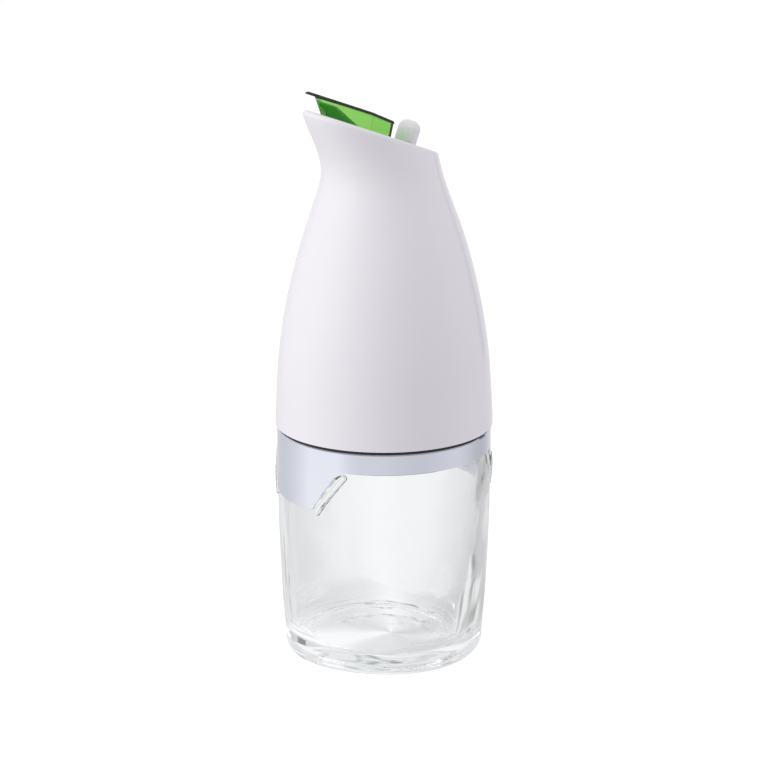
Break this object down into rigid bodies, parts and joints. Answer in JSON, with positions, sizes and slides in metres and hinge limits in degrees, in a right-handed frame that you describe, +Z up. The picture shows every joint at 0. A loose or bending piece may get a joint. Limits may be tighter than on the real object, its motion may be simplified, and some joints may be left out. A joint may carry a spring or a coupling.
{
  "type": "pouring cruet",
  "caption": "Glass pouring cruet with a chrome band, a white screw-on top that narrows to a spout, and a green hinged lid worked by a thumb tab.",
  "frame": {"origin": "centre of the base, on the surface the cruet stands on", "axes": "+Z up along the jar's axis, -Y towards the spout, +X to the right seen from behind the lid"},
  "size_m": [0.0812, 0.0812, 0.2139],
  "materials": {
    "clear_glass": "clear soda glass",
    "chrome": "polished",
    "black_rubber": "matt",
    "silicone": "translucent white silicone",
    "white_inner_plastic": "satin",
    "white_gloss_plastic": "gloss",
    "steel": "bright wire",
    "green_plastic": "clear green styrene",
    "dark_green_plastic": "clear green styrene, thick"
  },
  "bodies": {
    "jar": {"glass_jar": "clear_glass", "chrome_band": "chrome", "joint_ring": "black_rubber"},
    "gasket": {"mouth_gasket": "silicone"},
    "top": {"screw_collar": "white_inner_plastic", "housing": "white_gloss_plastic", "pour_deck": "white_inner_plastic", "pour_duct": "white_inner_plastic", "duct_gasket": "silicone", "deck_gasket": "silicone", "vent_tube": "white_inner_plastic", "hinge_pin": "steel", "closing_spring": "steel"},
    "lid": {"thumb_lever": "white_gloss_plastic", "pour_lid": "green_plastic", "lid_plug": "dark_green_plastic", "lid_seal": "silicone"}
  },
  "joints": [
    {"name": "top_lift", "type": "slide", "parent": "jar", "child": "gasket", "axis": [0, 0, 1], "range_m": [0, 0.016]},
    {"name": "top_turn", "type": "hinge", "parent": "gasket", "child": "top", "pos_m": [0, 0, 0.1], "axis": [0, 0, 1], "range_deg": [0, 360]},
    {"name": "lid_hinge", "type": "hinge", "parent": "top", "child": "lid", "pos_m": [0, 0.00532, 0.19015], "axis": [-1, 0, 0], "range_deg": [0, 42], "stiffness_Nm_per_rad": 0.02, "springref_deg": -14.32, "deforming": ["closing_spring"]}
  ],
  "couplings": [
    {"joint": "top_turn", "follows": "top_lift", "rad_per_m": 392.7}
  ]
}
